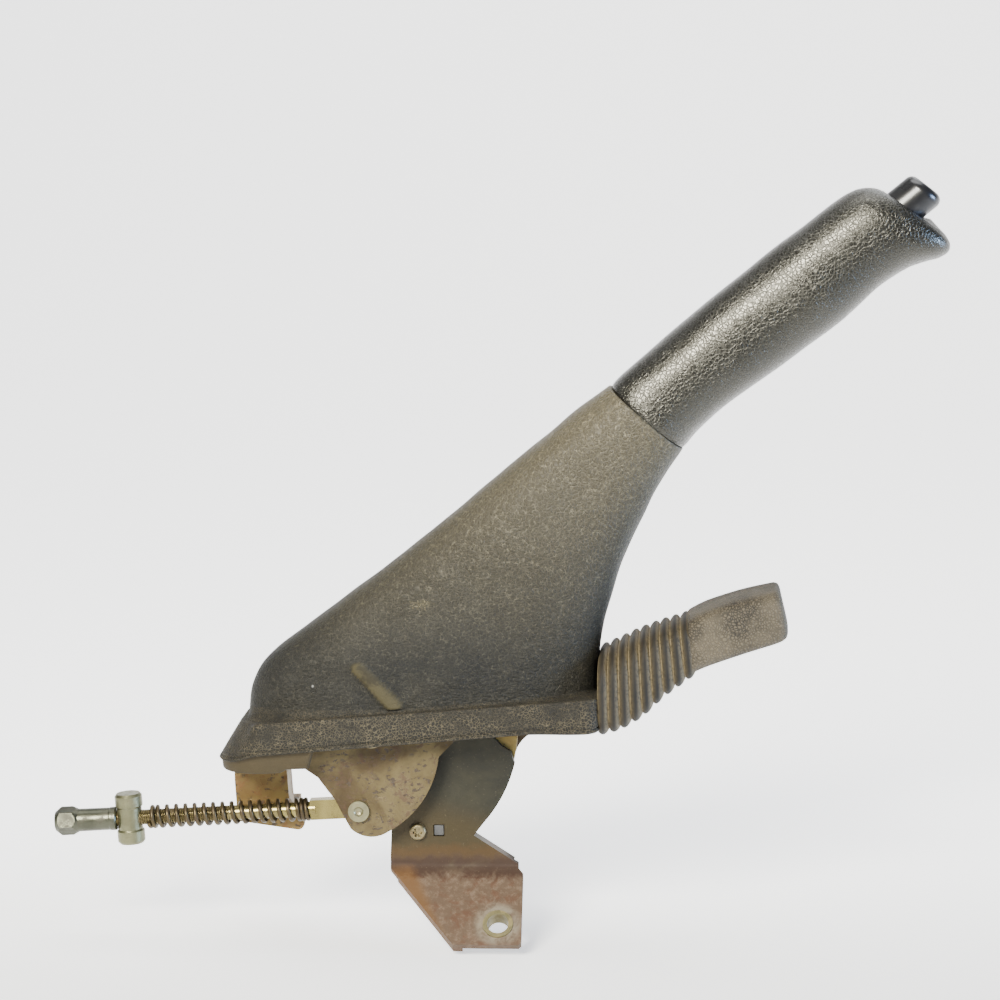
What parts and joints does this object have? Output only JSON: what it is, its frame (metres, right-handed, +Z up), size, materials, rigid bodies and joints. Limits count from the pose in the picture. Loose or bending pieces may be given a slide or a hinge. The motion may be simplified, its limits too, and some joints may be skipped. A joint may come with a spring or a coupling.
{
  "type": "parking brake lever",
  "caption": "Floor-mounted parking brake lever: grip with push button, rubber gaiter with bellows, ratchet bracket, and a sprung cable pull rod with cross pin and adjusting nut.",
  "frame": {"origin": "centre of the front foot's bolt hole, on the foot's outer face", "axes": "+X towards the grip end, +Z up, +Y across the lever, away from the front foot"},
  "size_m": [0.355, 0.062, 0.303],
  "materials": {
    "grip_vinyl": "leather-grained soft vinyl, worn semi-gloss",
    "button_plastic": "smooth gloss black",
    "gaiter_rubber": "dusty black moulded rubber",
    "bellows_rubber": "grainy matte, brown dust in the folds",
    "bracket_steel": "dark oily plate, rust brown on the foot",
    "bush_steel": "plated, white corrosion",
    "sector_steel": "greasy bare steel",
    "leg_steel": "yellow zinc plate, rusted",
    "lever_steel": "yellow zinc plate, pitted with rust",
    "fastener_steel": "dull zinc plate",
    "switch_plastic": "moulded black",
    "plunger_plastic": "moulded natural nylon",
    "terminal_brass": "stamped",
    "screw_steel": "dull zinc plate",
    "pin_steel": "dull plated, rust tinted",
    "rod_steel": "bright plated, worn thread",
    "spring_steel": "oily spring wire",
    "trunnion_zinc": "dull grey zinc",
    "nut_zinc": "dull grey zinc, stained"
  },
  "bodies": {
    "base": {"mounting_bracket": "bracket_steel", "front_foot_bush": "bush_steel", "ratchet_sector": "sector_steel", "rear_leg": "leg_steel", "pivot_bolt": "fastener_steel", "pivot_nut": "fastener_steel", "pivot_spacer_near": "fastener_steel", "pivot_spacer_far": "fastener_steel", "warning_switch_body": "switch_plastic", "switch_terminal": "terminal_brass", "switch_screw": "screw_steel", "gaiter": "gaiter_rubber", "bellows_tongue": "bellows_rubber"},
    "lever": {"lever_plate_near": "lever_steel", "lever_plate_far": "lever_steel", "lever_tube": "lever_steel", "channel_spacer": "fastener_steel", "clevis_pin": "pin_steel", "clevis_clip": "fastener_steel", "pawl_pin": "fastener_steel", "button_guide": "switch_plastic", "spring_seat": "fastener_steel", "grip": "grip_vinyl"},
    "button": {"release_button": "button_plastic", "release_rod": "rod_steel", "release_spring": "spring_steel"},
    "pawl": {"pawl": "sector_steel"},
    "cable_rod": {"pull_rod": "rod_steel", "pull_rod_spring": "spring_steel"},
    "cross_pin": {"trunnion": "trunnion_zinc"},
    "adjuster": {"adjuster_nut": "nut_zinc"},
    "switch_pin": {"switch_plunger": "plunger_plastic"}
  },
  "joints": [
    {"name": "lever_pull", "type": "hinge", "parent": "base", "child": "lever", "pos_m": [-0.05, 0.02026, 0.07456], "axis": [0, -1, 0], "range_deg": [0, 32], "deforming": ["gaiter"]},
    {"name": "button_press", "type": "slide", "parent": "lever", "child": "button", "axis": [-0.7771, 0, -0.6293], "range_m": [0, 0.005], "stiffness_N_per_m": 400, "springref_m": -0.005, "deforming": ["release_spring"]},
    {"name": "pawl_lift", "type": "hinge", "parent": "lever", "child": "pawl", "pos_m": [-0.002, 0.02026, 0.12456], "axis": [0, -1, 0], "range_deg": [0, 14.2]},
    {"name": "pull_rod_swing", "type": "hinge", "parent": "lever", "child": "cable_rod", "pos_m": [-0.0554, 0.02026, 0.04366], "axis": [0, -1, 0], "range_deg": [-32, 0]},
    {"name": "trunnion_slide", "type": "slide", "parent": "cable_rod", "child": "cross_pin", "axis": [0.9984, 0, 0.0558], "range_m": [-0.003, 0.012], "deforming": ["pull_rod_spring"]},
    {"name": "adjuster_turn", "type": "hinge", "parent": "cross_pin", "child": "adjuster", "pos_m": [-0.16723, 0.01526, 0.03741], "axis": [0.9984, 0, 0.0558], "range_deg": [-1080, 4320]},
    {"name": "switch_plunger_out", "type": "slide", "parent": "base", "child": "switch_pin", "axis": [0, 0, 1], "range_m": [0, 0.0025]}
  ],
  "couplings": [
    {"joint": "pull_rod_swing", "follows": "lever_pull", "ratio": -1},
    {"joint": "switch_plunger_out", "follows": "lever_pull", "m_per_rad": 0.0044},
    {"joint": "pawl_lift", "follows": "button_press", "rad_per_m": 49.3},
    {"joint": "adjuster_turn", "follows": "trunnion_slide", "rad_per_m": 6283.2}
  ]
}
